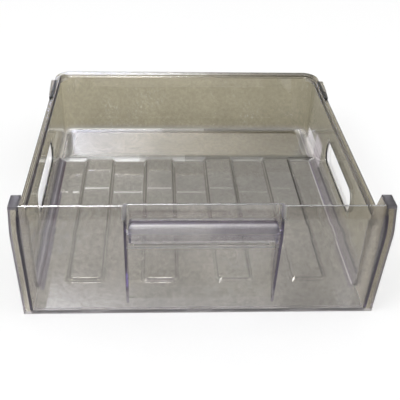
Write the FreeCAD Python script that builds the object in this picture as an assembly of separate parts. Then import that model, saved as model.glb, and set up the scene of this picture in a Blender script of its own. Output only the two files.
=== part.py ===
"""Clear freezer drawer: a deep tub closed by a taller front panel with a grip bar in a scoop.

Millimetres. X runs across the drawer, +Y towards its back and +Z up. The origin is the
middle of the footprint on the surface that the drawer stands on.
"""
import FreeCAD, Part
import math
import os

Vec = FreeCAD.Vector

# Overall sizes
overall_depth = 448.0
front_width = 400.0
front_height = 150.0
tub_height = 100.0
front_bulge = 9.0

# Tub walls
tub_wall = 2.4
tub_inner_width = 396.0
lip_overhang = 5.6
lip_skirt_height = 5.0
lip_skirt_wall = 1.8
rim_step_height = 4.5
rim_step_width = 1.2
rear_corner_radius = 14.0
rear_wall_lean = 13.0
side_wall_lean = 1.5

# Tub floor
floor_width = 374.0
side_band_rise = 6.0
floor_relief = 4.6
neck_depth = 44.0
rib_count = 4
rib_pitch = 90.0
rib_width = 48.0
rib_slope_run = 6.0
rib_corner_radius = 7.0
rib_start = 50.0
shelf_depth = 92.0
shelf_riser_run = 4.5

# Hand slots in the side walls
slot_length = 142.0
slot_height = 33.0
slot_centre_depth = 207.0
slot_centre_height = 53.5
slot_collar_depth = 4.0
slot_collar_wall = 2.0

# Front panel
panel_wall = 2.4
bend_drop = 28.0
bend_radius = 40.0
horn_depth = 21.0
bead_height = 5.6
bead_depth = 6.0

# Scoop behind the grip
scoop_width = 161.0
scoop_bottom = 21.0
scoop_top_depth = 3.0
scoop_grip_depth = 8.0
scoop_low_depth = 11.5
scoop_low_height = 62.0
scoop_round = 90.0

# Grip bar
grip_drop = 19.5
grip_height = 22.0
grip_wall = 2.4
grip_end_gap = 2.2
grip_corner_radius = 4.5
grip_crown_radius = 9.0
grip_peg_radius = 2.6
grip_peg_inset = 1.0
grip_peg_clearance = 0.1

# Tongues that key the tub's floor into the panel's bead
tongue_count = 3
tongue_pitch = 120.0
tongue_width = 30.0
tongue_length = 3.0
tongue_drop = 0.6
tongue_clearance = 0.2

# Rail stops clipped on the rim
stop_length = 58.0
stop_front_depth = 345.0
stop_overhang = 4.5
stop_cap = 2.0
stop_foot = 2.2
stop_taper = 1.3
stop_ramp = 27.0
stop_nose = 1.0
stop_corner_radius = 2.0
stop_groove_count = 3
stop_groove_pitch = 5.5
stop_groove_width = 2.2
stop_groove_depth = 0.8
stop_groove_start = 6.0

# Places worked out from the sizes above
front_foot = front_bulge - overall_depth / 2
rim_rear = overall_depth / 2
inner_half = tub_inner_width / 2
outer_half = inner_half + tub_wall
rim_half = outer_half + lip_overhang
rear_inner_top = rim_rear - lip_overhang - tub_wall
floor_half = floor_width / 2
neck_half = floor_half + tub_wall
jog_front = front_foot + neck_depth - tub_wall
jog_back = front_foot + neck_depth
side_foot_half = inner_half - side_wall_lean
panel_half = front_width / 2
scoop_half = scoop_width / 2
bend_height = front_height - bend_drop
grip_top = front_height - grip_drop
cut_margin = 5.0


def tangent_arc(before, corner, after, radius):
    """Start, middle and end of the arc that rounds a corner between two straight runs."""
    to_before = (before - corner).normalize()
    to_after = (after - corner).normalize()
    half_angle = to_before.getAngle(to_after) / 2
    reach = radius / math.tan(half_angle)
    bisector = (to_before + to_after).normalize()
    centre = corner + bisector * (radius / math.sin(half_angle))
    return corner + to_before * reach, centre - bisector * radius, corner + to_after * reach


def outline(corners):
    """Closed wire through (point, radius) corners, each rounded by its radius."""
    edges = []
    arcs = []
    for index, (point, radius) in enumerate(corners):
        before = corners[index - 1][0]
        after = corners[(index + 1) % len(corners)][0]
        if radius > 0:
            arcs.append(tangent_arc(before, point, after, radius))
        else:
            arcs.append((point, None, point))
    for index, (start, middle, end) in enumerate(arcs):
        previous_end = arcs[index - 1][2]
        if previous_end.distanceToPoint(start) > 1e-6:
            edges.append(Part.LineSegment(previous_end, start).toShape())
        if middle is not None:
            edges.append(Part.Arc(start, middle, end).toShape())
    return Part.Wire(edges)


def plan_outline(half, y_front, y_rear, radius, z):
    """Plan section of the tub: square in front, rounded at the two rear corners."""
    return outline([
        (Vec(-half, y_front, z), 0),
        (Vec(half, y_front, z), 0),
        (Vec(half, y_rear, z), radius),
        (Vec(-half, y_rear, z), radius),
    ])


def block(x0, x1, y0, y1, z0, z1):
    """Rectangular solid between two corners."""
    return Part.makeBox(x1 - x0, y1 - y0, z1 - z0, Vec(x0, y0, z0))


def side_profile(points, half):
    """Solid of a (y, z, radius) outline drawn in the side view and run across X."""
    wire = outline([(Vec(-half, y, z), radius) for y, z, radius in points])
    return Part.Face(wire).extrude(Vec(2 * half, 0, 0))


def rear_inner(z):
    """Y of the rear wall's inner face at a height: the wall leans back towards the rim."""
    share = (z - tub_wall) / (tub_height - tub_wall)
    return rear_inner_top - rear_wall_lean * (1 - share)


def mirrored(shape):
    """The same shape on the other side of the drawer."""
    return shape.mirror(Vec(0, 0, 0), Vec(1, 0, 0))


def tub_outer():
    """Outside of the tub, down to the slanted bands along its two lower sides."""
    band_run = side_foot_half - floor_half
    band_angle = math.atan2(side_band_rise, band_run)
    band_low = floor_half + tub_wall * math.tan(band_angle / 2)
    band_high = tub_wall + side_band_rise - tub_wall * math.tan((math.pi / 2 - band_angle) / 2)
    band_half = side_foot_half + tub_wall
    radius = rear_corner_radius + tub_wall
    levels = [
        plan_outline(band_low, jog_front, rear_inner(tub_wall) + tub_wall, radius, 0),
        plan_outline(band_half, jog_front, rear_inner(band_high) + tub_wall, radius, band_high),
        plan_outline(outer_half, jog_front, rear_inner_top + tub_wall, radius, tub_height),
    ]
    return Part.makeLoft(levels, True, True)


def tub_cavity():
    """Room inside the tub's walls, from the floor to above the rim."""
    above = tub_height + cut_margin
    band_top = tub_wall + side_band_rise
    radius = rear_corner_radius
    levels = [
        plan_outline(floor_half, jog_back, rear_inner(tub_wall), radius, tub_wall),
        plan_outline(side_foot_half, jog_back, rear_inner(band_top), radius, band_top),
        plan_outline(inner_half, jog_back, rear_inner_top, radius, tub_height),
        plan_outline(inner_half, jog_back, rear_inner_top, radius, above),
    ]
    return Part.makeLoft(levels, True, True)


def rim_prism(half_growth, z0, z1):
    """Upright prism of the rim's plan, grown outwards from the inner edge."""
    radius = rear_corner_radius + half_growth
    wire = plan_outline(inner_half + half_growth, jog_front, rear_inner_top + half_growth, radius, z0)
    return Part.Face(wire).extrude(Vec(0, 0, z1 - z0))


def rim():
    """Outward lip with a turned-down skirt, and the thicker band under it."""
    reach = tub_wall + lip_overhang
    lip = rim_prism(reach, tub_height - tub_wall - lip_skirt_height, tub_height)
    under_lip = rim_prism(reach - lip_skirt_wall, 0, tub_height - tub_wall)
    collar_bottom = tub_height - rim_step_height - tub_wall
    collar = rim_prism(tub_wall + rim_step_width, collar_bottom, tub_height)
    return lip.cut(under_lip).fuse(collar)


def rim_step():
    """Cut that sets the top of the inner face back by a small step."""
    z0 = tub_height - rim_step_height
    radius = rear_corner_radius + rim_step_width
    wire = plan_outline(inner_half + rim_step_width, jog_back, rear_inner_top + rim_step_width, radius, z0)
    return Part.Face(wire).extrude(Vec(0, 0, rim_step_height + cut_margin))


def rib_form(x_centre, z_base, inset, y_start, y_end):
    """Long raised rib with sloping sides: a loft between two rounded rectangles."""
    wires = []
    for z, shrink in ((z_base, inset), (z_base + floor_relief, inset + rib_slope_run)):
        half = rib_width / 2 - shrink
        radius = rib_corner_radius - shrink / 2
        wires.append(outline([
            (Vec(x_centre - half, y_start + shrink, z), radius),
            (Vec(x_centre + half, y_start + shrink, z), radius),
            (Vec(x_centre + half, y_end, z), 0),
            (Vec(x_centre - half, y_end, z), 0),
        ]))
    return Part.makeLoft(wires, True, True)


def rib_centres():
    """X of each rib, evenly spaced about the middle."""
    first = -rib_pitch * (rib_count - 1) / 2
    return [first + rib_pitch * index for index in range(rib_count)]


def riser_foot():
    """Y where the raised rear part of the floor begins."""
    return rear_inner(tub_wall) - shelf_depth


def shelf_form(lift, inset):
    """Raised rear part of the floor, behind a short sloping riser."""
    foot = riser_foot() + inset
    top = tub_wall + floor_relief - lift
    return side_profile([
        (foot, -lift, 0),
        (foot + shelf_riser_run * tub_wall / floor_relief, tub_wall - lift, 0),
        (foot + shelf_riser_run, top, 0),
        (rim_rear, top, 0),
        (rim_rear, -lift, 0),
    ], floor_half + side_band_rise * 2)


def shelf_pocket_room():
    """Room under the raised rear floor, whose ends slope like the bands beside them."""
    band_angle = math.atan2(side_band_rise, side_foot_half - floor_half)
    half_at_foot = floor_half + tub_wall * (math.tan(band_angle / 2) - 1 / math.sin(band_angle))
    y_rear = rear_inner(tub_wall) - tub_wall
    radius = rear_corner_radius - tub_wall
    levels = []
    for z in (-cut_margin, floor_relief):
        half = half_at_foot + z / math.tan(band_angle)
        levels.append(plan_outline(half, riser_foot(), y_rear, radius, z))
    return Part.makeLoft(levels, True, True)


def slot_prism(grow, x0, x1):
    """Long hole with round ends, run along X through a side wall."""
    half_length = slot_length / 2 + grow
    half_height = slot_height / 2 + grow
    y_centre = front_foot + slot_centre_depth
    wire = outline([
        (Vec(x0, y_centre - half_length, slot_centre_height - half_height), half_height),
        (Vec(x0, y_centre + half_length, slot_centre_height - half_height), half_height),
        (Vec(x0, y_centre + half_length, slot_centre_height + half_height), half_height),
        (Vec(x0, y_centre - half_length, slot_centre_height + half_height), half_height),
    ])
    return Part.Face(wire).extrude(Vec(x1 - x0, 0, 0))


def tongue(x_centre, grow, below):
    """Flat key at the front edge of the tub's floor, run down by a length below the floor."""
    bead_back = front_foot + bead_depth
    half = tongue_width / 2 + grow
    top = tub_wall - tongue_drop + grow
    return block(x_centre - half, x_centre + half, bead_back - tongue_length - grow, bead_back + grow,
                 -below, top)


def tongue_centres():
    """X of each tongue, evenly spaced about the middle."""
    first = -tongue_pitch * (tongue_count - 1) / 2
    return [first + tongue_pitch * index for index in range(tongue_count)]


def make_tub():
    """Tub moulding: drafted walls, rounded rear corners, ribbed floor, rim and hand slots."""
    shell = tub_outer()
    shell = shell.fuse(rim())
    neck = block(-neck_half, neck_half, front_foot + bead_depth, jog_back, 0, tub_wall)
    shell = shell.fuse(neck)
    shell = shell.cut(tub_cavity())
    shell = shell.cut(rim_step())
    mouth = block(-neck_half, neck_half, jog_front - cut_margin, jog_back, tub_wall, tub_height + cut_margin)
    shell = shell.cut(mouth)
    rib_front = front_foot + rib_start
    riser_top = riser_foot() + shelf_riser_run
    shelf = shelf_form(0, 0).common(tub_outer())
    for x in rib_centres():
        shell = shell.fuse(rib_form(x, tub_wall, 0, rib_front, riser_top + tub_wall))
    shell = shell.fuse(shelf)
    slope = math.atan2(floor_relief, rib_slope_run)
    inset = tub_wall * math.tan(slope / 2)
    for x in rib_centres():
        shell = shell.cut(rib_form(x, 0, inset, rib_front + inset, riser_top + tub_wall))
    shell = shell.cut(shelf_form(tub_wall, tub_wall / 2).common(shelf_pocket_room()))
    for side in (-1, 1):
        collar_x = side * (outer_half - side_wall_lean)
        collar = slot_prism(slot_collar_wall, collar_x, side * (outer_half + slot_collar_depth))
        hole = slot_prism(0, side * (side_foot_half - cut_margin), side * (rim_half + cut_margin))
        shell = shell.fuse(collar).cut(hole)
    for x in tongue_centres():
        shell = shell.fuse(tongue(x, 0, 0))
    return shell.removeSplitter()


def front_line(offset):
    """Side-view points of the panel's front face, set back by an offset."""
    return [
        (front_foot + offset, 0, 0),
        (front_foot - front_bulge + offset, bend_height, bend_radius),
        (front_foot + offset, front_height, 0),
    ]


def panel_slab(back_points, half):
    """Solid between the panel's front face and a line of points behind it."""
    return side_profile(front_line(0) + back_points, half)


def scoop_line(offset):
    """Side-view points of the scoop's back wall, from the top edge down to the front face."""
    grip_middle = grip_top - grip_height / 2
    return [
        (front_foot + scoop_top_depth + offset, front_height, 0),
        (front_foot + scoop_grip_depth + offset, grip_middle, bend_radius),
        (front_foot + scoop_low_depth + offset, scoop_low_height, scoop_round),
        (front_foot - front_bulge * scoop_bottom / bend_height, scoop_bottom - offset, 0),
    ]


def scoop_solid(offset, half, ahead):
    """Scoop between its back wall and a plane ahead of the panel."""
    front = front_foot - front_bulge - ahead
    points = scoop_line(offset)
    low = points[-1]
    return side_profile([(front, front_height, 0)] + points + [(front, low[1], 0)], half)


def make_front_panel():
    """Front moulding: bent plate, hollow side horns, bottom bead and scoop."""
    plate = panel_slab(list(reversed(front_line(panel_wall))), panel_half)
    bead = panel_slab([
        (front_foot + bead_depth, front_height, 0),
        (front_foot + bead_depth, 0, 0),
    ], neck_half).common(block(-neck_half, neck_half, front_foot - front_bulge, front_foot + bead_depth,
                               0, bead_height))
    panel = plate.fuse(bead)
    horn_back = front_foot + horn_depth
    horn = panel_slab([
        (horn_back, front_height, 0),
        (horn_back, 0, 0),
    ], panel_half)
    web = panel_slab([
        (horn_back, front_height, 0),
        (jog_front, tub_height, 0),
        (jog_front, 0, 0),
    ], neck_half + panel_wall)
    front_most = front_foot - front_bulge
    skirt_inner = panel_half - panel_wall
    cap_under = front_height - panel_wall
    web_room = block(neck_half, neck_half + panel_wall, front_most, jog_front, 0, front_height)
    skirt_room = block(skirt_inner, panel_half, front_most, horn_back, 0, front_height)
    cap_room = block(neck_half, panel_half, front_most, horn_back, cap_under, front_height)
    side = web.common(web_room).fuse(horn.common(skirt_room)).fuse(horn.common(cap_room))
    panel = panel.fuse(side).fuse(mirrored(side))
    pocket = scoop_solid(panel_wall, scoop_half + panel_wall, 0)
    behind_scoop = front_foot + scoop_low_depth + panel_wall + cut_margin
    behind_face = panel_slab([
        (behind_scoop, front_height, 0),
        (behind_scoop, 0, 0),
    ], scoop_half + panel_wall)
    panel = panel.fuse(pocket.common(behind_face))
    panel = panel.cut(scoop_solid(0, scoop_half, cut_margin))
    for x in tongue_centres():
        panel = panel.cut(tongue(x, tongue_clearance, cut_margin))
    for side_sign in (-1, 1):
        panel = panel.cut(grip_peg(side_sign, grip_peg_clearance))
    return panel.removeSplitter()


def grip_peg(side_sign, grow):
    """Round peg at one end of the grip bar, seated in the scoop's side wall."""
    start = Vec(side_sign * (scoop_half - grip_end_gap - grip_wall), grip_axis_y(), grip_axis_z())
    length = grip_end_gap + grip_wall + panel_wall
    return Part.makeCylinder(grip_peg_radius + grow, length + grow, start, Vec(side_sign, 0, 0))


def grip_axis_y():
    """Y of the pegs' axis."""
    return front_foot - front_bulge + grip_wall + grip_peg_radius + grip_peg_inset


def grip_axis_z():
    """Height of the pegs' axis."""
    return grip_top - grip_height / 2


def grip_crown(inset, rear):
    """Side view of the bar, run across it: its top rolls over into the front lip."""
    front = front_foot - front_bulge + inset
    top = grip_top - inset
    return side_profile([
        (front, grip_top - grip_height - cut_margin, 0),
        (front, top, grip_crown_radius - inset),
        (rear, top, 0),
        (rear, grip_top - grip_height - cut_margin, 0),
    ], scoop_half)


def make_grip_bar():
    """Hooked bar across the scoop: a top web, a front lip and rounded ends with pegs."""
    half = scoop_half - grip_end_gap
    front = front_foot - front_bulge
    rear = front_foot + scoop_grip_depth + grip_wall
    bottom = grip_top - grip_height
    wire = outline([
        (Vec(-half, front, bottom), 0),
        (Vec(half, front, bottom), 0),
        (Vec(half, front, grip_top), grip_corner_radius),
        (Vec(-half, front, grip_top), grip_corner_radius),
    ])
    body = Part.Face(wire).extrude(Vec(0, rear - front, 0))
    body = body.common(grip_crown(0, rear))
    inner_half_length = half - grip_wall
    inner = outline([
        (Vec(-inner_half_length, front + grip_wall, bottom - cut_margin), 0),
        (Vec(inner_half_length, front + grip_wall, bottom - cut_margin), 0),
        (Vec(inner_half_length, front + grip_wall, grip_top - grip_wall), grip_corner_radius - grip_wall),
        (Vec(-inner_half_length, front + grip_wall, grip_top - grip_wall), grip_corner_radius - grip_wall),
    ])
    hollow = Part.Face(inner).extrude(Vec(0, rear - front, 0))
    body = body.cut(hollow.common(grip_crown(grip_wall, rear + cut_margin)))
    face_room = panel_slab([
        (rear, front_height, 0),
        (rear, 0, 0),
    ], half)
    body = body.common(face_room)
    body = body.common(scoop_solid(0, scoop_half, 0))
    for side_sign in (-1, 1):
        body = body.fuse(grip_peg(side_sign, 0))
    return body.removeSplitter()


def make_stop():
    """Stop for the right-hand rail: a sleeve over the rim's lip, ramped and grooved in front."""
    y0 = front_foot + stop_front_depth
    y1 = y0 + stop_length
    top = tub_height + stop_cap
    bottom = tub_height - tub_wall - lip_skirt_height - stop_foot
    outer = rim_half + stop_overhang
    plan = outline([
        (Vec(outer_half + rim_step_width, y0, bottom), 0),
        (Vec(rim_half + stop_nose, y0, bottom), stop_nose),
        (Vec(outer - stop_taper, y0 + stop_ramp, bottom), stop_corner_radius),
        (Vec(outer, y1, bottom), stop_corner_radius),
        (Vec(outer_half + rim_step_width, y1, bottom), 0),
    ])
    sleeve = Part.Face(plan).extrude(Vec(0, 0, top - bottom))
    skirt_inner = rim_half - lip_skirt_wall
    skirt_bottom = tub_height - tub_wall - lip_skirt_height
    ahead = y0 - cut_margin
    behind = y1 + cut_margin
    lip = block(0, rim_half, ahead, behind, tub_height - tub_wall, tub_height)
    skirt = block(skirt_inner, rim_half, ahead, behind, skirt_bottom, tub_height)
    under = block(0, skirt_inner, ahead, behind, bottom - cut_margin, tub_height - tub_wall)
    stop = sleeve.cut(lip).cut(skirt).cut(under)
    for index in range(stop_groove_count):
        groove_y = y0 + stop_groove_start + stop_groove_pitch * index
        stop = stop.cut(block(0, outer + cut_margin, groove_y, groove_y + stop_groove_width,
                              top - stop_groove_depth, top + cut_margin))
    return stop.removeSplitter()


def write(name, shape):
    """Check one piece and write its file."""
    print(name, "valid", shape.isValid(), "solids", len(shape.Solids), "volume", round(shape.Volume, 1))
    shape.exportStep("parts/" + name + ".step")


def main():
    """Build every piece of the drawer."""
    os.makedirs("parts", exist_ok=True)
    write("tub", make_tub())
    write("front_panel", make_front_panel())
    write("grip_bar", make_grip_bar())
    stop = make_stop()
    write("rail_stop_right", stop)
    write("rail_stop_left", mirrored(stop))


main()
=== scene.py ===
"""Looks of a clear freezer drawer: a smoky moulded tub, its front panel, grip bar and rail stops."""
import logging
import math
from dataclasses import dataclass
from enum import Enum

import bmesh
import bpy
from mathutils import Matrix, Vector


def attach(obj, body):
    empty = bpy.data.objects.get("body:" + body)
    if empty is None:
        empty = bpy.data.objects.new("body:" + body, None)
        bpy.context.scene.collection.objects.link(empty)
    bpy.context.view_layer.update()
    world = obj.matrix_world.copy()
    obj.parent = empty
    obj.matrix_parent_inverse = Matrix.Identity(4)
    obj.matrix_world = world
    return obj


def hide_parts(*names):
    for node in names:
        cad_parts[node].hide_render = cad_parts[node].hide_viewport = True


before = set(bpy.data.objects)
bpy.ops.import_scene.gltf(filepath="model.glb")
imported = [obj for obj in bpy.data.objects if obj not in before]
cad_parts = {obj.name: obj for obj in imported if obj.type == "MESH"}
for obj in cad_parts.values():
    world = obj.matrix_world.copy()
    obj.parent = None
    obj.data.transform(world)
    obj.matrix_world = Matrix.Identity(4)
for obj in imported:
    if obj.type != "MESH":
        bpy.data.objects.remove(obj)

LOG = logging.getLogger("drawer")
MM = 0.001
Point = tuple[float, float, float]
Span = tuple[float, float]
Tint = tuple[float, float, float]
EVERYWHERE: Span = (-300.0, 300.0)
ANY_HEIGHT: Span = (-50.0, 300.0)

# The Mix node's sockets for colours share their names with those for numbers, so they go by place.
MIX_FIRST = 6
MIX_SECOND = 7
MIX_RESULT = 2


class Moulding(Enum):
    """The separate mouldings of the drawer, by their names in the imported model."""

    TUB = "tub"
    FRONT_PANEL = "front_panel"
    GRIP_BAR = "grip_bar"
    STOP_LEFT = "rail_stop_left"
    STOP_RIGHT = "rail_stop_right"


class Slot(Enum):
    """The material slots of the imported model."""

    TUB = "tub_plastic"
    PANEL = "panel_plastic"
    GRIP = "grip_plastic"
    STOP = "stop_plastic"


class NodeTree:
    """Small helper that adds and joins shader nodes in one tree."""

    def __init__(self, tree: bpy.types.NodeTree) -> None:
        """Keep the tree that nodes are added to.

        Args:
            tree: The node tree of a material, group or world.
        """
        self.tree = tree

    def add(self, kind: str, **values: object) -> bpy.types.Node:
        """Add one node and set its options.

        Args:
            kind: The node's type name.
            values: Node options by attribute name.

        Returns:
            The new node.
        """
        node = self.tree.nodes.new(kind)
        for name, value in values.items():
            setattr(node, name, value)
        return node

    def join(self, source: bpy.types.NodeSocket, target: bpy.types.NodeSocket) -> None:
        """Link an output socket to an input socket."""
        self.tree.links.new(source, target)

    def feed(self, target: bpy.types.NodeSocket, value: object) -> None:
        """Set a socket to a plain value or link it to another socket.

        Args:
            target: The socket that is set.
            value: A socket to link, or a number, vector or colour.
        """
        if isinstance(value, bpy.types.NodeSocket):
            self.join(value, target)
        else:
            target.default_value = value

    def math(self, operation: str, first: object, second: object = 0.0,
             clamp: bool = False) -> bpy.types.NodeSocket:
        """Add a Math node.

        Args:
            operation: The name of the operation.
            first: First number or socket.
            second: Second number or socket.
            clamp: Whether the result is kept between 0 and 1.

        Returns:
            The socket with the result.
        """
        node = self.add("ShaderNodeMath", operation=operation, use_clamp=clamp)
        self.feed(node.inputs[0], first)
        self.feed(node.inputs[1], second)
        return node.outputs[0]

    def product(self, first: object, second: object) -> bpy.types.NodeSocket:
        """Multiply two numbers or sockets."""
        return self.math("MULTIPLY", first, second)

    def mix_colour(self, share: object, first: object, second: object,
                   blend: str = "MIX") -> bpy.types.NodeSocket:
        """Mix two colours.

        Args:
            share: How much of the second colour shows.
            first: First colour or socket.
            second: Second colour or socket.
            blend: The way of mixing.

        Returns:
            The socket with the mixed colour.
        """
        node = self.add("ShaderNodeMix", data_type="RGBA", blend_type=blend)
        self.feed(node.inputs["Factor"], share)
        self.feed(node.inputs[MIX_FIRST], first)
        self.feed(node.inputs[MIX_SECOND], second)
        return node.outputs[MIX_RESULT]

    def range_of(self, value: object, low: float, high: float, to_low: float = 0.0,
                 to_high: float = 1.0, smooth: bool = True) -> bpy.types.NodeSocket:
        """Map a range of a value onto another range, kept inside it.

        Args:
            value: The socket that is mapped.
            low: Start of the range that is read.
            high: End of the range that is read.
            to_low: Result at the start.
            to_high: Result at the end.
            smooth: Whether the change eases in and out.

        Returns:
            The socket with the mapped value.
        """
        kind = "SMOOTHSTEP" if smooth else "LINEAR"
        node = self.add("ShaderNodeMapRange", interpolation_type=kind, clamp=True)
        for index, entry in enumerate((value, low, high, to_low, to_high)):
            self.feed(node.inputs[index], entry)
        return node.outputs[0]

    def noise(self, place: bpy.types.NodeSocket, scale: float, detail: float = 3.0,
              roughness: float = 0.5, distortion: float = 0.0) -> bpy.types.NodeSocket:
        """Add a noise texture and return its value.

        Args:
            place: The coordinates it reads.
            scale: Its scale.
            detail: Its levels of detail.
            roughness: How strong the fine levels are.
            distortion: How much it is warped.

        Returns:
            The socket with the noise value.
        """
        node = self.add("ShaderNodeTexNoise")
        self.join(place, node.inputs["Vector"])
        node.inputs["Scale"].default_value = scale
        node.inputs["Detail"].default_value = detail
        node.inputs["Roughness"].default_value = roughness
        node.inputs["Distortion"].default_value = distortion
        return node.outputs[0]

    def stretched(self, place: bpy.types.NodeSocket, scale: tuple[float, float, float],
                  turn: float = 0.0) -> bpy.types.NodeSocket:
        """Stretch and turn coordinates about Z.

        Args:
            place: The coordinates that are read.
            scale: The factor along each axis.
            turn: The angle about Z, in degrees.

        Returns:
            The socket with the new coordinates.
        """
        node = self.add("ShaderNodeMapping")
        self.join(place, node.inputs["Vector"])
        node.inputs["Scale"].default_value = scale
        node.inputs["Rotation"].default_value = (0.0, 0.0, math.radians(turn))
        return node.outputs[0]

    def object_axes(self, place: bpy.types.NodeSocket) -> bpy.types.NodeOutputs:
        """Split coordinates into their X, Y and Z.

        Args:
            place: The coordinates that are split.

        Returns:
            The outputs named X, Y and Z.
        """
        split = self.add("ShaderNodeSeparateXYZ")
        self.join(place, split.inputs[0])
        return split.outputs


def rgba(tint: Tint) -> tuple[float, float, float, float]:
    """A tint with full opacity, as sockets want it."""
    return (*tint, 1.0)


def empty_material(name: str) -> tuple[bpy.types.Material, NodeTree]:
    """Make a material whose node tree is still empty.

    Args:
        name: The material's name.

    Returns:
        The material and the helper for its tree.
    """
    made = bpy.data.materials.new(name)
    made.use_nodes = True
    made.node_tree.nodes.clear()
    return made, NodeTree(made.node_tree)


def linked_object(name: str, shape: bmesh.types.BMesh) -> bpy.types.Object:
    """Turn a bmesh into an object in the scene and free the bmesh.

    Args:
        name: The name of the object and its mesh.
        shape: The bmesh, with its place in its vertices.

    Returns:
        The new object.
    """
    mesh = bpy.data.meshes.new(name)
    shape.to_mesh(mesh)
    shape.free()
    made = bpy.data.objects.new(name, mesh)
    bpy.context.scene.collection.objects.link(made)
    return made


class SurfaceEffect:
    """A shader node group that several finishes share. Its first use builds it."""

    name = "surface_effect"
    inputs: tuple[tuple[str, float], ...] = ()
    outputs: tuple[tuple[str, str], ...] = ()

    def group(self) -> bpy.types.NodeTree:
        """Find the group, or build it when it isn't there yet.

        Returns:
            The group's node tree.
        """
        known = bpy.data.node_groups.get(self.name)
        if known is not None:
            return known
        tree = bpy.data.node_groups.new(self.name, "ShaderNodeTree")
        tree.interface.new_socket("Place", in_out="INPUT", socket_type="NodeSocketVector")
        for label, value in self.inputs:
            socket = tree.interface.new_socket(label, in_out="INPUT", socket_type="NodeSocketFloat")
            socket.default_value = value
        for label, kind in self.outputs:
            tree.interface.new_socket(label, in_out="OUTPUT", socket_type=kind)
        nodes = NodeTree(tree)
        entry = nodes.add("NodeGroupInput")
        leave = nodes.add("NodeGroupOutput")
        self.draw(nodes, entry, leave)
        return tree

    def draw(self, nodes: NodeTree, entry: bpy.types.Node, leave: bpy.types.Node) -> None:
        """Fill the group with its nodes.

        Args:
            nodes: The helper for the group's tree.
            entry: The group's input node.
            leave: The group's output node.
        """
        raise NotImplementedError

    def use(self, nodes: NodeTree, place: bpy.types.NodeSocket, **values: float) -> bpy.types.Node:
        """Place the group in a material with its own values.

        Args:
            nodes: The helper for the material's tree.
            place: The coordinates that it reads.
            values: Input values, with underscores for spaces.

        Returns:
            The group node.
        """
        node = nodes.add("ShaderNodeGroup", node_tree=self.group())
        nodes.join(place, node.inputs["Place"])
        for label, value in values.items():
            node.inputs[label.replace("_", " ")].default_value = value
        return node


class MouldRipple(SurfaceEffect):
    """Slow waves and faint flow lines that a moulded sheet keeps from its filling."""

    name = "mould_ripple"
    inputs = (("Wave", 1.0), ("Flow", 1.0), ("Grain", 1.0))
    outputs = (("Height", "NodeSocketFloat"),)
    wave_stretch = (1.0, 0.7, 1.0)
    wave_scale = 14.0
    flow_stretch = (1.0, 0.16, 0.6)
    flow_turn = 4.0
    flow_scale = 60.0
    flow_share = 0.12
    grain_scale = 900.0
    grain_share = 0.004
    noise_middle = 0.5

    def draw(self, nodes: NodeTree, entry: bpy.types.Node, leave: bpy.types.Node) -> None:
        """Fill the group: slow waves, long flow lines and fine grain, added up as a height.

        Args:
            nodes: The helper for the group's tree.
            entry: The group's input node.
            leave: The group's output node.
        """
        place = entry.outputs["Place"]
        along_wave = nodes.stretched(place, self.wave_stretch)
        along_flow = nodes.stretched(place, self.flow_stretch, self.flow_turn)
        wave = nodes.noise(along_wave, self.wave_scale, detail=1.5, roughness=0.45, distortion=0.6)
        flow = nodes.noise(along_flow, self.flow_scale, detail=2.0, distortion=0.3)
        grain = nodes.noise(place, self.grain_scale, detail=2.0, roughness=0.6)
        slow, long, fine = (
            nodes.product(nodes.math("SUBTRACT", value, self.noise_middle), entry.outputs[label])
            for value, label in ((wave, "Wave"), (flow, "Flow"), (grain, "Grain"))
        )
        total = nodes.math("ADD", nodes.math("ADD", slow, nodes.product(long, self.flow_share)),
                           nodes.product(fine, self.grain_share))
        nodes.join(total, leave.inputs["Height"])


class HandlingMarks(SurfaceEffect):
    """Fine scratches and scuffs from packs that slide in and out."""

    name = "handling_marks"
    inputs = (("Amount", 1.0),)
    outputs = (("Scratch", "NodeSocketFloat"), ("Scuff", "NodeSocketFloat"))
    hair_sets = ((8.0, 0.02, 620.0), (71.0, 0.03, 480.0), (-34.0, 0.025, 540.0))
    hair_edge = (0.665, 0.71)
    patch_scale = 11.0
    patch_edge = (0.50, 0.68)
    scuff_scale = 23.0
    scuff_edge = (0.52, 0.78)

    def draw(self, nodes: NodeTree, entry: bpy.types.Node, leave: bpy.types.Node) -> None:
        """Fill the group: three sets of hairlines in patches, and cloudy scuffs.

        Args:
            nodes: The helper for the group's tree.
            entry: The group's input node.
            leave: The group's output node.
        """
        place = entry.outputs["Place"]
        lines = None
        for turn, stretch, scale in self.hair_sets:
            along_hair = nodes.stretched(place, (1.0, stretch, 0.4), turn)
            thin = nodes.range_of(nodes.noise(along_hair, scale, detail=1.0), *self.hair_edge)
            lines = thin if lines is None else nodes.math("MAXIMUM", lines, thin)
        patchy = nodes.noise(place, self.patch_scale, detail=2.0, roughness=0.6)
        cloudy = nodes.noise(place, self.scuff_scale, detail=5.0, roughness=0.62, distortion=0.4)
        patches = nodes.range_of(patchy, *self.patch_edge)
        clouds = nodes.range_of(cloudy, *self.scuff_edge)
        amount = entry.outputs["Amount"]
        nodes.join(nodes.product(nodes.product(lines, patches), amount), leave.inputs["Scratch"])
        nodes.join(nodes.product(clouds, amount), leave.inputs["Scuff"])


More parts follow.
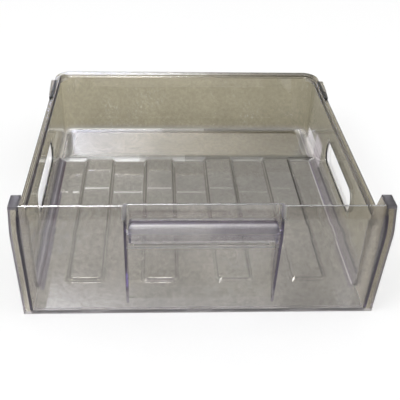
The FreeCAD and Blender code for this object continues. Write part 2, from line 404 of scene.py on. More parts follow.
class ZoneMask(SurfaceEffect):
    """Mask of a box with soft sides, which may be the same on both sides of the drawer."""

    name = "zone_mask"
    inputs = (("Low X", 0.0), ("High X", 1.0), ("Low Y", -1.0), ("High Y", 1.0),
              ("Low Z", -1.0), ("High Z", 1.0), ("Soft", 0.001), ("Mirrored", 1.0))
    outputs = (("Mask", "NodeSocketFloat"),)

    def draw(self, nodes: NodeTree, entry: bpy.types.Node, leave: bpy.types.Node) -> None:
        """Fill the group: one soft gate for each axis, multiplied.

        Args:
            nodes: The helper for the group's tree.
            entry: The group's input node.
            leave: The group's output node.
        """
        axes = nodes.object_axes(entry.outputs["Place"])
        soft = entry.outputs["Soft"]
        mask = None
        for axis in "XYZ":
            along = axes[axis]
            if axis == "X":
                fold = nodes.math("SUBTRACT", nodes.math("ABSOLUTE", along), along)
                along = nodes.math("ADD", along, nodes.product(fold, entry.outputs["Mirrored"]))
            from_low = nodes.math("SUBTRACT", along, entry.outputs["Low " + axis])
            from_high = nodes.math("SUBTRACT", entry.outputs["High " + axis], along)
            gate = nodes.product(nodes.math("DIVIDE", from_low, soft, True),
                                 nodes.math("DIVIDE", from_high, soft, True))
            mask = gate if mask is None else nodes.product(mask, gate)
        nodes.join(mask, leave.inputs["Mask"])


class PinRing(SurfaceEffect):
    """Small raised ring that an ejector pin leaves on the floor of a moulding."""

    name = "pin_ring"
    inputs = (("Centre X", 0.0), ("Centre Y", 0.0), ("Radius", 0.003), ("Line", 0.0005))
    outputs = (("Height", "NodeSocketFloat"),)

    def draw(self, nodes: NodeTree, entry: bpy.types.Node, leave: bpy.types.Node) -> None:
        """Fill the group: one where the distance from the centre is near the radius.

        Args:
            nodes: The helper for the group's tree.
            entry: The group's input node.
            leave: The group's output node.
        """
        axes = nodes.object_axes(entry.outputs["Place"])
        across = nodes.math("SUBTRACT", axes["X"], entry.outputs["Centre X"])
        along = nodes.math("SUBTRACT", axes["Y"], entry.outputs["Centre Y"])
        squares = nodes.math("ADD", nodes.product(across, across), nodes.product(along, along))
        reach = nodes.math("SQRT", squares)
        off = nodes.math("ABSOLUTE", nodes.math("SUBTRACT", reach, entry.outputs["Radius"]))
        ring = nodes.math("SUBTRACT", 1.0, nodes.math("DIVIDE", off, entry.outputs["Line"]), True)
        nodes.join(ring, leave.inputs["Height"])


@dataclass(frozen=True)
class TintAndPaintedLightZone:
    """Box of a moulding with a tint of its own, in millimetres. Some zones hold the plastic's own
    colour, others a painted highlight, painted reflection or painted shade.

    Its mask fades over the soft width. A zone for both sides is mirrored about the drawer's
    middle, and one with a frost value above zero is matt by that roughness as well.
    """

    what: str
    tint: Tint
    across: Span = EVERYWHERE
    depth: Span = EVERYWHERE
    height: Span = ANY_HEIGHT
    soft: float = 1.0
    frost: float = 0.0
    both: bool = False

    def mask(self, nodes: NodeTree, place: bpy.types.NodeSocket) -> bpy.types.NodeSocket:
        """Mask of the zone in a material.

        Args:
            nodes: The helper for the material's tree.
            place: Object coordinates.

        Returns:
            The socket with the mask.
        """
        values = {"Soft": self.soft * MM, "Mirrored": float(self.both)}
        for axis, (low, high) in zip("XYZ", (self.across, self.depth, self.height)):
            values["Low_" + axis] = low * MM
            values["High_" + axis] = high * MM
        node = ZoneMask().use(nodes, place, **values)
        node.label = self.what
        return node.outputs["Mask"]


def stepped(what: str, steps: tuple[tuple[Span, Tint, float], ...], depth: Span, height: Span,
            soft: float) -> tuple[TintAndPaintedLightZone, ...]:
    """Zones side by side, whose tint and frost step across the drawer.

    Args:
        what: What the zones lie on.
        steps: The span across, the tint and the frost of each.
        depth: Their common span in depth.
        height: Their common span in height.
        soft: How wide their edges fade.

    Returns:
        The zones, in the order of the steps.
    """
    return tuple(TintAndPaintedLightZone(what, tint, across, depth, height, soft, frost) for across, tint, frost in steps)


@dataclass(frozen=True)
class ClearPlastic:
    """Clear, smoky moulded plastic whose thick edges turn violet.

    Fields hold the tint of a moulding and of its zones, how its thickness swallows light, its
    gloss, and how strong its ripples, marks, clouds and specks are. Some zones hold the plastic's
    own colour, others painted highlights and painted shade. Plain zones lie over the clouds and
    specks. A painted shade makes the tint lighter on the drawer's left and darker on its right,
    by the share that its field for this shade gives.
    """

    name: str
    tint: Tint
    zones: tuple[TintAndPaintedLightZone, ...] = ()
    plain_zones: tuple[TintAndPaintedLightZone, ...] = ()
    pin_rings: tuple[tuple[float, float], ...] = ()
    depth_colour: Tint = (0.30, 0.20, 0.55)
    depth_density: float = 90.0
    ior: float = 1.57
    roughness: float = 0.03
    scuff_roughness: float = 0.10
    scuff_share: float = 0.6
    wave_height: float = 0.07
    flow: float = 1.0
    marks: float = 1.0
    scratch_depth: float = 0.01
    scratch_tint: Tint = (0.85, 0.85, 0.85)
    scratch_share: float = 0.25
    clouding: float = 0.09
    cloud_scale: float = 7.0
    mottling: float = 0.09
    speck_scale: float = 190.0
    noise_span: Span = (0.3, 0.7)
    # The next two set a painted shade: the tint is lighter on the drawer's left and darker on its right.
    painted_side_shade: float = 0.0
    painted_side_shade_reach: float = 200.0

    def material(self) -> bpy.types.Material:
        """Build the material with its node tree.

        Returns:
            The finished material.
        """
        made, nodes = empty_material(self.name)
        place = nodes.add("ShaderNodeTexCoord").outputs["Object"]
        marks = HandlingMarks().use(nodes, place, Amount=self.marks)
        shader = nodes.add("ShaderNodeBsdfPrincipled")
        shader.inputs["Transmission Weight"].default_value = 1.0
        shader.inputs["IOR"].default_value = self.ior
        nodes.join(self.colour(nodes, place, marks), shader.inputs["Base Color"])
        nodes.join(self.gloss(nodes, place, marks), shader.inputs["Roughness"])
        nodes.join(self.relief(nodes, place, marks), shader.inputs["Normal"])
        depth = nodes.add("ShaderNodeVolumeAbsorption")
        depth.inputs["Color"].default_value = rgba(self.depth_colour)
        depth.inputs["Density"].default_value = self.depth_density
        output = nodes.add("ShaderNodeOutputMaterial")
        nodes.join(shader.outputs[0], output.inputs["Surface"])
        nodes.join(depth.outputs[0], output.inputs["Volume"])
        return made

    def relief(self, nodes: NodeTree, place: bpy.types.NodeSocket,
               marks: bpy.types.Node) -> bpy.types.NodeSocket:
        """Normal with ripples, scratches and the rings of ejector pins.

        Args:
            nodes: The helper for the material's tree.
            place: Object coordinates.
            marks: The handling marks group.

        Returns:
            The socket with the normal.
        """
        ripple = MouldRipple().use(nodes, place, Flow=self.flow)
        cut = nodes.product(marks.outputs["Scratch"], self.scratch_depth)
        height = nodes.math("SUBTRACT", ripple.outputs["Height"], cut)
        for centre_x, centre_y in self.pin_rings:
            ring = PinRing().use(nodes, place, Centre_X=centre_x * MM, Centre_Y=centre_y * MM)
            height = nodes.math("ADD", height, ring.outputs["Height"])
        bump = nodes.add("ShaderNodeBump")
        bump.inputs["Strength"].default_value = 1.0
        bump.inputs["Distance"].default_value = self.wave_height * MM
        nodes.join(height, bump.inputs["Height"])
        return bump.outputs["Normal"]

    def unevenness_and_painted_side_shade(self, nodes: NodeTree, place: bpy.types.NodeSocket) -> bpy.types.NodeSocket:
        """Grey that clouds, specks and a painted shade from the drawer's left to its right multiply a tint
        by.

        Args:
            nodes: The helper for the material's tree.
            place: Object coordinates.

        Returns:
            The socket with the grey.
        """
        clouds = nodes.range_of(nodes.noise(place, self.cloud_scale, roughness=0.55),
                                *self.noise_span, 1.0 - self.clouding, 1.0 + self.clouding)
        specks = nodes.range_of(nodes.noise(place, self.speck_scale, roughness=0.65),
                                *self.noise_span, 1.0 - self.mottling, 1.0 + self.mottling)
        # Painted shade: lighter on the drawer's left, darker on its right.
        side = nodes.range_of(nodes.object_axes(place)["X"], -self.painted_side_shade_reach * MM,
                              self.painted_side_shade_reach * MM, 1.0 + self.painted_side_shade, 1.0 - self.painted_side_shade, smooth=False)
        level = nodes.product(nodes.product(clouds, specks), side)
        shade = nodes.add("ShaderNodeCombineXYZ")
        for target in shade.inputs:
            nodes.join(level, target)
        return shade.outputs[0]

    def colour(self, nodes: NodeTree, place: bpy.types.NodeSocket,
               marks: bpy.types.Node) -> bpy.types.NodeSocket:
        """Colour that light takes on through the surface, with the painted highlights and painted shade
        that some zones and the side shade add.

        Args:
            nodes: The helper for the material's tree.
            place: Object coordinates.
            marks: The handling marks group.

        Returns:
            The socket with the tint.
        """
        tint = rgba(self.tint)
        for zone in self.zones:
            tint = nodes.mix_colour(zone.mask(nodes, place), tint, rgba(zone.tint))
        tint = nodes.mix_colour(1.0, tint, self.unevenness_and_painted_side_shade(nodes, place), "MULTIPLY")
        for zone in self.plain_zones:
            tint = nodes.mix_colour(zone.mask(nodes, place), tint, rgba(zone.tint))
        pale = nodes.product(marks.outputs["Scratch"], self.scratch_share)
        return nodes.mix_colour(pale, tint, rgba(self.scratch_tint))

    def gloss(self, nodes: NodeTree, place: bpy.types.NodeSocket,
              marks: bpy.types.Node) -> bpy.types.NodeSocket:
        """Roughness with scuffs, scratches and frosted zones.

        Args:
            nodes: The helper for the material's tree.
            place: Object coordinates.
            marks: The handling marks group.

        Returns:
            The socket with the roughness.
        """
        scuffs = nodes.product(marks.outputs["Scuff"], self.scuff_share)
        worn = nodes.math("MAXIMUM", marks.outputs["Scratch"], scuffs)
        rough = nodes.range_of(worn, 0.0, 1.0, self.roughness, self.scuff_roughness, smooth=False)
        for zone in self.zones + self.plain_zones:
            if zone.frost > 0.0:
                frosted = nodes.product(zone.mask(nodes, place), zone.frost)
                rough = nodes.math("MAXIMUM", rough, frosted)
        return rough


@dataclass
class DressedMoulding:
    """One moulding of the drawer, with its edges rounded as the mould leaves them.

    Fields hold its look, the radii of sharp edges and of those in the soft zones, in millimetres,
    and the angles, in degrees, above which an edge is sharp and below which faces are one flat.
    """

    moulding: Moulding
    slot: Slot
    finish: ClearPlastic
    edge_round: float = 0.30
    soft_round: float = 0.9
    soft_zones: tuple[tuple[Point, Point], ...] = ()
    edge_segments: int = 3
    sharp_angle: float = 28.0
    weld_distance: float = 0.002
    flat_angle: float = 0.4
    flat_weight: int = 100

    def build(self) -> bpy.types.Object:
        """Make the moulding's mesh, put it in place of its plain node and dress it.

        Returns:
            The finished piece.
        """
        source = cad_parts[self.moulding.value]
        shape = bmesh.new()
        shape.from_mesh(source.data)
        bmesh.ops.remove_doubles(shape, verts=shape.verts, dist=self.weld_distance * MM)
        bmesh.ops.dissolve_limit(shape, angle_limit=math.radians(self.flat_angle), verts=shape.verts,
                                 edges=shape.edges, use_dissolve_boundaries=False)
        for face in shape.faces:
            face.smooth = True
        self.mark_edges(shape)
        piece = linked_object(self.moulding.value + "_moulding", shape)
        piece.data.materials.append(self.finish.material())
        self.add_rounding(piece)
        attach(piece, "root")
        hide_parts(self.moulding.value)
        return piece

    def mark_edges(self, shape: bmesh.types.BMesh) -> None:
        """Give each sharp edge its share of the largest radius, all of it in soft zones.

        Args:
            shape: The moulding's bmesh.
        """
        weight = shape.edges.layers.float.new("bevel_weight_edge")
        for edge in shape.edges:
            edge.smooth = True
            if edge.is_manifold and edge.calc_face_angle(0.0) > math.radians(self.sharp_angle):
                edge[weight] = 1.0 if self.in_soft_zone(edge) else self.edge_round / self.soft_round

    def in_soft_zone(self, edge: bmesh.types.BMEdge) -> bool:
        """Whether an edge lies wholly in one of the boxes that get the larger radius.

        Args:
            edge: The edge that is asked about.

        Returns:
            True where both its ends are in one box.
        """
        return any(
            all(low[axis] <= corner.co[axis] / MM <= high[axis]
                for corner in edge.verts for axis in range(3))
            for low, high in self.soft_zones
        )

    def add_rounding(self, piece: bpy.types.Object) -> None:
        """Round the marked edges and keep the flats flat in the shading.

        Args:
            piece: The moulding's object.
        """
        rounding = piece.modifiers.new("mould_radii", "BEVEL")
        rounding.limit_method = "WEIGHT"
        rounding.width = self.soft_round * MM
        rounding.segments = self.edge_segments
        rounding.use_clamp_overlap = False
        flat = piece.modifiers.new("true_flats", "WEIGHTED_NORMAL")
        flat.mode = "FACE_AREA"
        flat.weight = self.flat_weight


@dataclass(frozen=True)
class GlowCard:
    """Upright glowing card that only the gloss of the drawer mirrors.

    Fields hold its middle and its width and height in metres, and its colour and brightness
    at the left and right end. A rising card fades out towards its lower edge. A card that is
    not meant to be seen through the plastic is left out of what shines through.
    """

    name: str
    place: Point
    sides: tuple[float, float]
    colour: Tint
    start: float
    end: float
    end_colour: Tint = (1.0, 1.0, 1.0)
    rising: bool = False
    through: bool = False

    def build(self) -> None:
        """Make the card and its glow, and hide it from straight and soft light."""
        shape = bmesh.new()
        bmesh.ops.create_grid(shape, x_segments=1, y_segments=1, size=0.5)
        bmesh.ops.scale(shape, verts=shape.verts, vec=(*self.sides, 1.0))
        upright = Matrix.Rotation(math.radians(90.0), 3, "X")
        bmesh.ops.rotate(shape, verts=shape.verts, matrix=upright)
        bmesh.ops.translate(shape, verts=shape.verts, vec=self.place)
        card = linked_object(self.name, shape)
        card.data.materials.append(self.glow())
        card.visible_camera = False
        card.visible_diffuse = False
        card.visible_shadow = False
        card.visible_transmission = self.through

    def glow(self) -> bpy.types.Material:
        """Glow that fades to the right and, on a rising card, downwards.

        Returns:
            The glowing material.
        """
        made, nodes = empty_material(self.name)
        axes = nodes.object_axes(nodes.add("ShaderNodeTexCoord").outputs["Object"])
        half_width, half_height = self.sides[0] / 2, self.sides[1] / 2
        fade = nodes.range_of(axes["X"], self.place[0] - half_width, self.place[0] + half_width,
                              1.0, 0.0, smooth=False)
        level = nodes.range_of(nodes.product(fade, fade), 0.0, 1.0, self.end, self.start, smooth=False)
        if self.rising:
            lift = nodes.range_of(axes["Z"], self.place[2] - half_height, self.place[2] + half_height)
            level = nodes.product(level, lift)
        light = nodes.add("ShaderNodeEmission")
        hue = nodes.mix_colour(fade, rgba(self.end_colour), rgba(self.colour))
        nodes.join(hue, light.inputs["Color"])
        nodes.join(level, light.inputs["Strength"])
        output = nodes.add("ShaderNodeOutputMaterial")
        nodes.join(light.outputs[0], output.inputs["Surface"])
        return made


@dataclass(frozen=True)
class Softbox:
    """Rectangular lamp that faces the drawer, in metres and watts.

    One that is for gloss alone is mirrored by the drawer and lights nothing else.
    """

    name: str
    place: Point
    sides: tuple[float, float]
    power: float
    gloss_only: bool = False
    aim: Point = (0.0, 0.0, 0.05)

    def build(self) -> None:
        """Hang the lamp and turn it to the drawer."""
        data = bpy.data.lights.new(self.name, "AREA")
        data.shape = "RECTANGLE"
        data.size, data.size_y = self.sides
        data.energy = self.power
        lamp = bpy.data.objects.new(self.name, data)
        lamp.location = self.place
        ahead = Vector(self.aim) - Vector(self.place)
        lamp.rotation_euler = ahead.to_track_quat("-Z", "Y").to_euler()
        bpy.context.scene.collection.objects.link(lamp)
        if self.gloss_only:
            lamp.visible_diffuse = False
            lamp.visible_camera = False


@dataclass
class Studio:
    """Plain pale floor, soft light and the camera.

    Fields hold the floor's size in metres and its colour, the strength of the surrounding light
    where it lights and where it is mirrored, the camera's place in metres, its angles in degrees
    and its lens as the photograph's pixels give it, and the lamps and cards.
    """

    floor_half: float = 6.0
    floor_drop: float = 0.0004
    floor_colour: Tint = (0.86, 0.86, 0.86)
    floor_own_white: float = 0.55
    world_strength: float = 0.9
    mirrored_strength: float = 0.35
    camera_place: Point = (-0.0485, -0.774, 0.550)
    camera_pitch: float = 35.0
    camera_yaw: float = -2.97
    camera_roll: float = 1.61
    focal_pixels: float = 674.0
    frame_pixels: float = 400.0
    centre_pixels: float = 185.8
    sensor_width: float = 36.0
    softboxes: tuple[Softbox, ...] = (
        Softbox("key_softbox", (-1.3, -0.9, 1.9), (1.2, 1.2), 22.0),
        Softbox("fill_softbox", (1.6, -0.4, 1.6), (1.4, 1.4), 10.0),
        Softbox("overhead_glint", (-0.19, -0.45, 1.8), (0.50, 0.70), 52.0, gloss_only=True),
        Softbox("riser_glint", (-0.16, -0.63, 1.19), (0.45, 0.12), 2.0, gloss_only=True),
    )
    cards: tuple[GlowCard, ...] = (
        GlowCard("high_card", (0.15, 3.0, 1.625), (1.56, 0.27), (0.90, 1.0, 1.6),
                 start=13.5, end=1.6, end_colour=(1.1, 1.0, 0.6), through=True),
        GlowCard("low_card", (0.10, 3.0, 1.36), (1.50, 0.22), (0.95, 0.98, 1.0),
                 start=4.0, end=0.8, through=True),
        GlowCard("corner_card", (-0.10, 3.0, 2.96), (2.00, 0.68), (0.93, 0.95, 1.08),
                 start=9.0, end=1.6, rising=True),
        GlowCard("front_card", (-0.05, -3.0, 1.8), (0.70, 2.4), (0.96, 0.96, 1.0),
                 start=16.0, end=0.5),
        GlowCard("top_edge_card", (0.02, 0.02, 0.318), (0.54, 0.011), (1.0, 0.98, 1.0),
                 start=26.0, end=5.0),
        GlowCard("floor_line_card", (0.0, 0.30, 0.189), (0.42, 0.003), (1.0, 1.0, 0.98),
                 start=7.0, end=1.0),
    )

    def build(self) -> None:
        """Make the floor, the light and the camera."""
        self.add_floor()
        self.add_world()
        for light in self.softboxes + self.cards:
            light.build()
        self.add_camera()
        bpy.context.scene.view_settings.view_transform = "Standard"

    def seen_directly(self, nodes: NodeTree) -> bpy.types.NodeSocket:
        """Mask of rays that show the background: straight, mirrored or through the plastic.

        Args:
            nodes: The helper for the material's tree.

        Returns:
            The socket with the mask.
        """
        path = nodes.add("ShaderNodeLightPath")
        straight = nodes.math("MAXIMUM", path.outputs["Is Camera Ray"], path.outputs["Is Glossy Ray"])
        return nodes.math("MAXIMUM", straight, path.outputs["Is Transmission Ray"])

    def add_floor(self) -> None:
        """Make the pale floor, which keeps the drawer's shadow."""
        shape = bmesh.new()
        bmesh.ops.create_grid(shape, x_segments=1, y_segments=1, size=self.floor_half)
        bmesh.ops.translate(shape, verts=shape.verts, vec=(0.0, 0.0, -self.floor_drop))
        floor = linked_object("studio_floor", shape)
        made, nodes = empty_material("studio_floor")
        matt = nodes.add("ShaderNodeBsdfDiffuse")
        matt.inputs["Color"].default_value = rgba(self.floor_colour)
        glow = nodes.add("ShaderNodeEmission")
        share = nodes.product(self.seen_directly(nodes), self.floor_own_white)
        mix = nodes.add("ShaderNodeMixShader")
        nodes.join(share, mix.inputs[0])
        nodes.join(matt.outputs[0], mix.inputs[1])
        nodes.join(glow.outputs[0], mix.inputs[2])
        output = nodes.add("ShaderNodeOutputMaterial")
        nodes.join(mix.outputs[0], output.inputs["Surface"])
        floor.data.materials.append(made)

    def add_world(self) -> None:
        """Make the even surrounding light, white where it is seen."""
        world = bpy.data.worlds.new("studio_light")
        bpy.context.scene.world = world
        world.use_nodes = True
        world.node_tree.nodes.clear()
        nodes = NodeTree(world.node_tree)
        even = nodes.add("ShaderNodeBackground")
        even.inputs["Color"].default_value = (1.0, 1.0, 1.0, 1.0)
        path = nodes.add("ShaderNodeLightPath")
        level = nodes.range_of(path.outputs["Is Glossy Ray"], 0.0, 1.0,
                               self.world_strength, self.mirrored_strength)
        nodes.join(level, even.inputs["Strength"])
        output = nodes.add("ShaderNodeOutputWorld")
        nodes.join(even.outputs[0], output.inputs["Surface"])

    def add_camera(self) -> None:
        """Place the camera at the viewing angle that the measured view gives."""
        pitch = math.radians(self.camera_pitch)
        yaw = math.radians(self.camera_yaw)
        roll = math.radians(self.camera_roll)
        ahead = Vector((-math.sin(yaw) * math.cos(pitch), math.cos(yaw) * math.cos(pitch),
                        -math.sin(pitch)))
        level = Vector((math.cos(yaw), math.sin(yaw), 0.0))
        above = level.cross(ahead)
        right = level * math.cos(roll) + above * math.sin(roll)
        up = above * math.cos(roll) - level * math.sin(roll)
        data = bpy.data.cameras.new("camera")
        data.sensor_width = self.sensor_width
        data.lens = self.focal_pixels / self.frame_pixels * self.sensor_width
        data.shift_x = (self.frame_pixels / 2 - self.centre_pixels) / self.frame_pixels
        camera = bpy.data.objects.new("camera", data)
        turn = Matrix((right, up, -ahead)).transposed().to_4x4()
        camera.matrix_world = Matrix.Translation(Vector(self.camera_place)) @ turn
        bpy.context.scene.collection.objects.link(camera)
        bpy.context.scene.camera = camera


WALL_HEIGHT: Span = (10.0, 130.0)
BAND_DEPTH: Span = (-170.0, 116.0)
OUTER_BAND_DEPTH: Span = (-170.0, 112.0)
BAND_HEIGHT: Span = (-5.0, 9.5)
RIB_WIDTH: Span = (-186.0, 186.0)
RIB_DEPTH: Span = (-176.0, 109.0)
FLOOR_HEIGHT: Span = (-5.0, 6.0)
SHELF_DEPTH: Span = (116.0, 204.0)
SHELF_TOP: Span = (6.0, 8.0)
SHELF_BOX_DEPTH: Span = (112.0, 206.0)
SHELF_UNDERSIDE: Span = (-1.0, 5.2)
REAR_RIM_DEPTH: Span = (214.2, 300.0)
REAR_RIM_HEIGHT: Span = (95.2, 300.0)
SIDE_RIM_DEPTH: Span = (-176.0, 214.0)
SIDE_RIM_HEIGHT: Span = (90.0, 300.0)
LIP_DEPTH: Span = (-176.0, 206.0)
LIP_HEIGHT: Span = (94.8, 101.0)
BLADE: Span = (80.0, 83.5)
BLADE_HEIGHT: Span = (17.0, 134.0)
GRIP_LIP_DEPTH: Span = (-230.0, -219.5)
GRIP_TOP_HEIGHT: Span = (118.0, 140.0)

WHITE: Tint = (1.0, 1.0, 1.0)
# Painted highlight for the shelf's edges, seen from below.
PAINTED_EDGE_HIGHLIGHT: Tint = (1.0, 1.0, 0.98)
# The next two are painted shade for strips along the floor's left and right sides.
LEFT_STRIP_SHADE: Tint = (0.27, 0.25, 0.27)
RIGHT_STRIP_SHADE: Tint = (0.34, 0.32, 0.33)
# Painted shade for the rail stops' grooves.
PAINTED_GROOVE_SHADE: Tint = (0.22, 0.19, 0.18)

TUB_ZONES: tuple[TintAndPaintedLightZone, ...] = (
    TintAndPaintedLightZone("left wall", (0.39, 0.365, 0.28), (-300.0, -160.0), height=WALL_HEIGHT, soft=30.0),
    TintAndPaintedLightZone("left wall's front part", (0.35, 0.325, 0.25), (-300.0, -170.0), (-260.0, -70.0),
             (8.0, 130.0), 25.0),
    TintAndPaintedLightZone("right wall", (0.47, 0.445, 0.355), (170.0, 300.0), height=WALL_HEIGHT, soft=25.0),
    TintAndPaintedLightZone("rear wall", (0.37, 0.34, 0.245), depth=(172.0, 300.0), height=(7.5, 300.0), soft=8.0),
    TintAndPaintedLightZone("left band", (0.205, 0.19, 0.21), (-198.0, -187.8), BAND_DEPTH, BAND_HEIGHT, 0.8),
    TintAndPaintedLightZone("right band", (0.34, 0.32, 0.32), (187.8, 198.0), BAND_DEPTH, BAND_HEIGHT, 0.8),
    TintAndPaintedLightZone("light line on the left band", (0.42, 0.40, 0.42), (-193.2, -191.2), OUTER_BAND_DEPTH,
             BAND_HEIGHT, 0.6),
    TintAndPaintedLightZone("dark line at the walls' foot", (0.10, 0.09, 0.10), (195.4, 197.2), OUTER_BAND_DEPTH,
             (-5.0, 9.8), 0.5, both=True),
    # Painted highlight on the bands beside the shelf.
    TintAndPaintedLightZone("painted highlight on the bands beside the shelf", (0.62, 0.59, 0.54), (188.0, 198.0), SHELF_BOX_DEPTH,
             BAND_HEIGHT, 1.0, both=True),
    # Painted shade: the ribs' slopes are darker than the floor, so that the ribs stand out.
    TintAndPaintedLightZone("ribs' lower slopes", (0.28, 0.27, 0.245), RIB_WIDTH, RIB_DEPTH, (2.9, 4.2), 0.3),
    TintAndPaintedLightZone("painted shade on the ribs' upper slopes", (0.30, 0.29, 0.265), RIB_WIDTH, RIB_DEPTH, (5.0, 6.6), 0.3),
    # Painted shade: strips along the floor's sides, wider towards the front.
    TintAndPaintedLightZone("painted shade on the floor's left strip, front", LEFT_STRIP_SHADE, (-187.8, -181.5), (-176.0, -60.0), FLOOR_HEIGHT, 1.2),
    TintAndPaintedLightZone("painted shade on the floor's left strip, back", LEFT_STRIP_SHADE, (-187.8, -183.5), (-60.0, 30.0), FLOOR_HEIGHT, 1.2),
    TintAndPaintedLightZone("painted shade on the floor's right strip, front", RIGHT_STRIP_SHADE, (181.5, 187.8), (-176.0, -90.0), FLOOR_HEIGHT, 1.2),
    TintAndPaintedLightZone("painted shade on the floor's right strip, back", RIGHT_STRIP_SHADE, (184.0, 187.8), (-90.0, -10.0), FLOOR_HEIGHT, 1.2),
    TintAndPaintedLightZone("step below the rear rim", (0.55, 0.52, 0.45), depth=(197.5, 214.0), height=(90.0, 99.0),
             soft=0.6, frost=0.6),
    TintAndPaintedLightZone("left band's inner foot", (0.14, 0.10, 0.13), (-189.2, -187.2), (-170.0, 110.0),
             FLOOR_HEIGHT, 0.4),
    TintAndPaintedLightZone("right band's inner foot", (0.34, 0.29, 0.38), (187.6, 189.4), (-170.0, 204.0),
             (-5.0, 8.0), 0.5),
    # Rear rim: a painted highlight, which steps down to painted shade towards the right.
    TintAndPaintedLightZone("rear rim", (0.82, 0.81, 0.77), EVERYWHERE, REAR_RIM_DEPTH, REAR_RIM_HEIGHT, 0.3, 0.12),
    *stepped("rear rim, painted highlight fading to the right", (
        ((-10.0, 30.0), (0.73, 0.72, 0.67), 0.16),
        ((30.0, 65.0), (0.64, 0.62, 0.57), 0.19),
        ((65.0, 100.0), (0.54, 0.52, 0.47), 0.22),
        ((100.0, 206.0), (0.45, 0.43, 0.38), 0.25),
    ), REAR_RIM_DEPTH, REAR_RIM_HEIGHT, 0.4),
)

TUB_PLAIN_ZONES: tuple[TintAndPaintedLightZone, ...] = (
    TintAndPaintedLightZone("highlight beside the shelf", (0.95, 0.92, 0.91), (190.0, 300.0), (122.0, 180.0),
             (0.0, 30.0), 5.0),
    TintAndPaintedLightZone("highlight before the shelf", (0.78, 0.73, 0.76), (190.0, 300.0), (82.0, 130.0),
             (4.0, 48.0), 7.0),
    # Painted highlight: a bright line along the floor's right edge.
    TintAndPaintedLightZone("floor's right edge, painted highlight", WHITE, (185.4, 187.4), (-170.0, 204.0), (1.5, 8.0), 0.3),
    # Painted highlights around the shelf: bright on the left and darker towards the right.
    TintAndPaintedLightZone("shelf's left end", WHITE, (-187.6, -179.0), SHELF_DEPTH, SHELF_TOP, 2.0),
    TintAndPaintedLightZone("shelf's right end", (0.80, 0.79, 0.74), (179.0, 187.6), SHELF_DEPTH, SHELF_TOP, 2.0),
    # Painted highlight on the riser, white on the left and fading to dark on the right.
    *stepped("riser", (
        ((-190.0, -75.0), WHITE, 0.4),
        ((-75.0, -5.0), (0.60, 0.59, 0.56), 0.4),
        ((-5.0, 188.0), (0.30, 0.29, 0.26), 0.4),
    ), (110.2, 117.4), (-1.0, 9.0), 0.3),
    # Painted highlights on the shelf's ends and edges from below, fading towards the right.
    TintAndPaintedLightZone("shelf's ends from below", PAINTED_EDGE_HIGHLIGHT, (179.5, 198.0), SHELF_BOX_DEPTH, SHELF_UNDERSIDE,
             0.2, 0.4, both=True),
    *stepped("shelf's rear edge from below", (
        ((-198.0, -40.0), PAINTED_EDGE_HIGHLIGHT, 0.4),
        ((-40.0, 30.0), (0.60, 0.585, 0.54), 0.4),
        ((30.0, 179.5), (0.56, 0.54, 0.49), 0.4),
    ), (196.0, 206.0), SHELF_UNDERSIDE, 0.2),
    *stepped("shelf's front edge from below", (
        ((-198.0, -75.0), PAINTED_EDGE_HIGHLIGHT, 0.4),
        ((-75.0, -5.0), (0.62, 0.61, 0.57), 0.4),
        ((-5.0, 188.0), (0.38, 0.37, 0.33), 0.4),
    ), (110.2, 125.0), SHELF_UNDERSIDE, 0.2),
    # Painted highlight along the rear wall's foot, fading towards the right.
    *stepped("rear wall's foot", (
        ((-198.0, -40.0), (0.95, 0.94, 0.90), 0.2),
        ((-40.0, 30.0), (0.60, 0.585, 0.54), 0.3),
        ((30.0, 179.5), (0.36, 0.345, 0.31), 0.4),
    ), (199.5, 209.0), (-1.0, 8.5), 0.5),
    TintAndPaintedLightZone("left rim", (0.68, 0.64, 0.53), (-300.0, -200.6), SIDE_RIM_DEPTH, SIDE_RIM_HEIGHT, 0.3, 0.14),
    TintAndPaintedLightZone("right rim", (0.74, 0.70, 0.59), (199.9, 300.0), SIDE_RIM_DEPTH, SIDE_RIM_HEIGHT, 0.3, 0.14),
    TintAndPaintedLightZone("left rim's inner line", (0.10, 0.08, 0.10), (-200.2, -197.7), LIP_DEPTH, LIP_HEIGHT,
             0.3, 0.3),
    TintAndPaintedLightZone("right rim's inner line", (0.45, 0.41, 0.37), (197.7, 199.9), LIP_DEPTH, LIP_HEIGHT, 0.3, 0.3),
    TintAndPaintedLightZone("walls' jog at the front", WHITE, (184.0, 300.0), (-176.5, -170.2), (9.5, 92.0), 0.3,
             both=True),
    TintAndPaintedLightZone("hand slots' edge", WHITE, (197.5, 206.0), (-80.6, 64.6), (35.6, 71.4), 0.4, 0.3, both=True),
    TintAndPaintedLightZone("hand slots' collar", WHITE, (200.7, 206.0), (-90.0, 75.0), (28.0, 80.0), 0.2, both=True),
)

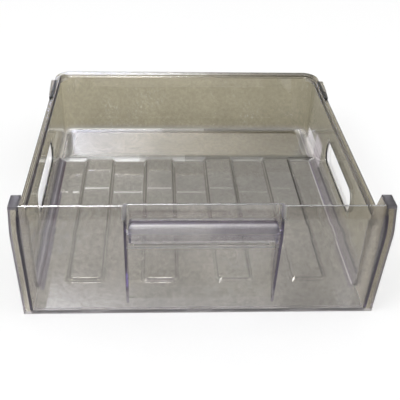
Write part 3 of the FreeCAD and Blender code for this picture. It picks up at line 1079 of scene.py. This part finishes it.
PANEL_ZONES: tuple[TintAndPaintedLightZone, ...] = (
    # Painted shade: the panel is darker towards the right.
    TintAndPaintedLightZone("panel's right part, painted shade", (0.79, 0.77, 0.71), (60.0, 300.0), soft=60.0),
    TintAndPaintedLightZone("left horn", (0.80, 0.77, 0.64), (-300.0, -188.6), soft=0.5, frost=0.25),
    TintAndPaintedLightZone("right horn", (0.53, 0.49, 0.37), (188.6, 300.0), soft=0.5, frost=0.25),
    TintAndPaintedLightZone("horns' webs", (0.72, 0.67, 0.55), (188.6, 192.6), (-210.0, -160.0), soft=0.4, both=True),
    TintAndPaintedLightZone("violet line beside the horns", (0.075, 0.045, 0.115), (188.8, 192.6), (-230.0, -213.0),
             (6.0, 140.0), 0.6, both=True),
    TintAndPaintedLightZone("horns' tops", (0.25, 0.24, 0.26), (188.6, 300.0), height=(146.0, 160.0), frost=0.4,
             both=True),
    TintAndPaintedLightZone("scoop's side walls", (0.62, 0.58, 0.64), BLADE, height=BLADE_HEIGHT, soft=0.5, both=True),
    TintAndPaintedLightZone("scoop's front edges", (0.08, 0.05, 0.14), BLADE, (-230.0, -217.5), BLADE_HEIGHT, 0.5,
             both=True),
    TintAndPaintedLightZone("scoop's top corners", (0.97, 0.96, 0.90), (79.0, 85.0), height=(136.0, 160.0), soft=0.5,
             frost=0.5, both=True),
    TintAndPaintedLightZone("scoop's foot", (0.93, 0.91, 0.86), (-79.0, 79.0), height=(22.0, 40.0), soft=4.0, frost=0.2),
    TintAndPaintedLightZone("bead along the foot", (0.96, 0.93, 0.89), height=(-5.0, 4.6), soft=0.5, frost=0.6),
    TintAndPaintedLightZone("top edge", (1.0, 0.99, 1.0), (-188.0, 188.0), height=(149.2, 160.0), soft=0.2, frost=0.06),
    TintAndPaintedLightZone("bend in the scoop", (0.70, 0.68, 0.67), (-74.0, 74.0), height=(90.6, 93.4), soft=0.5,
             frost=0.3),
    # Painted highlight: a light line in the scoop.
    TintAndPaintedLightZone("painted highlight line in the scoop", WHITE, (-80.0, 80.0), height=(86.6, 88.8), soft=0.3, frost=0.5),
    TintAndPaintedLightZone("horns' outer edge", WHITE, (199.3, 210.0), height=(8.0, 146.0), soft=0.3, frost=0.35,
             both=True),
)

GRIP_ZONES: tuple[TintAndPaintedLightZone, ...] = (
    TintAndPaintedLightZone("front lip", (0.55, 0.535, 0.57), depth=GRIP_LIP_DEPTH, soft=2.0),
    TintAndPaintedLightZone("top's front part", (0.58, 0.56, 0.60), depth=(-240.0, -212.0), height=GRIP_TOP_HEIGHT,
             soft=5.0, frost=0.5),
    TintAndPaintedLightZone("top's back part", (0.97, 0.97, 0.95), depth=(-219.5, -180.0), height=GRIP_TOP_HEIGHT,
             soft=2.0, frost=0.25),
    # Painted highlight on the grip's left part.
    TintAndPaintedLightZone("painted highlight on the left part", WHITE, (-140.0, 22.0), (-260.0, -190.0), (104.0, 160.0), 22.0),
    # Painted shade: a dark line along the grip's crown.
    TintAndPaintedLightZone("painted shade line on the crown", (0.17, 0.13, 0.21), depth=(-232.0, -213.0), height=(129.5, 134.0),
             soft=0.3),
    # Painted highlight along the lip's lower edge.
    TintAndPaintedLightZone("lip's lower edge", WHITE, depth=GRIP_LIP_DEPTH, height=(108.0, 111.2), soft=0.4, frost=0.15),
)

STOP_ZONES: tuple[TintAndPaintedLightZone, ...] = (
    TintAndPaintedLightZone("ramp", WHITE, depth=(120.0, 134.6), soft=0.6, frost=0.6),
    # Painted shade in the three grooves.
    TintAndPaintedLightZone("first groove", PAINTED_GROOVE_SHADE, depth=(135.7, 138.5), soft=0.6),
    TintAndPaintedLightZone("second groove", PAINTED_GROOVE_SHADE, depth=(141.2, 144.0), soft=0.6),
    TintAndPaintedLightZone("third groove", PAINTED_GROOVE_SHADE, depth=(146.7, 149.5), soft=0.6),
)


@dataclass
class Drawer:
    """The whole drawer, moulding by moulding: its plastics, and where the floor's edges are round."""

    tub_finish: ClearPlastic = ClearPlastic(
        "smoky_tub_plastic", (0.425, 0.410, 0.375), TUB_ZONES, TUB_PLAIN_ZONES,
        pin_rings=((-173.4, -178.6), (173.4, -178.6)),
        # The last value gives a painted shade, 12 % lighter on the left and 12 % darker on the right.
        depth_colour=(0.42, 0.38, 0.38), depth_density=50.0, painted_side_shade=0.12)
    panel_finish: ClearPlastic = ClearPlastic(
        "clear_panel_plastic", (0.93, 0.91, 0.86), PANEL_ZONES, depth_density=26.0)
    grip_finish: ClearPlastic = ClearPlastic(
        "clear_grip_plastic", (0.95, 0.95, 0.94), GRIP_ZONES, depth_density=45.0)
    stop_finish: ClearPlastic = ClearPlastic(
        "clear_stop_plastic", (0.95, 0.89, 0.76), STOP_ZONES, depth_colour=(0.55, 0.50, 0.44),
        depth_density=22.0, roughness=0.42, scuff_roughness=0.5)
    ribbed_floor: tuple[Point, Point] = ((-187.5, -175.0, -1.0), (187.5, 118.0, 7.4))
    floor_round: float = 1.1

    def build(self) -> list[bpy.types.Object]:
        """Build every moulding in order.

        Returns:
            The finished pieces.
        """
        parts = (
            DressedMoulding(Moulding.TUB, Slot.TUB, self.tub_finish, soft_round=self.floor_round,
                            soft_zones=(self.ribbed_floor,)),
            DressedMoulding(Moulding.FRONT_PANEL, Slot.PANEL, self.panel_finish),
            DressedMoulding(Moulding.GRIP_BAR, Slot.GRIP, self.grip_finish),
            DressedMoulding(Moulding.STOP_LEFT, Slot.STOP, self.stop_finish),
            DressedMoulding(Moulding.STOP_RIGHT, Slot.STOP, self.stop_finish),
        )
        return [part.build() for part in parts]


def main() -> None:
    """Build the studio and the drawer, and report each piece."""
    logging.basicConfig(level=logging.INFO, format="%(message)s")
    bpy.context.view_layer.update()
    Studio().build()
    for piece in Drawer().build():
        LOG.info("built %s with %d faces", piece.name, len(piece.data.polygons))


if __name__ == "__main__":
    main()
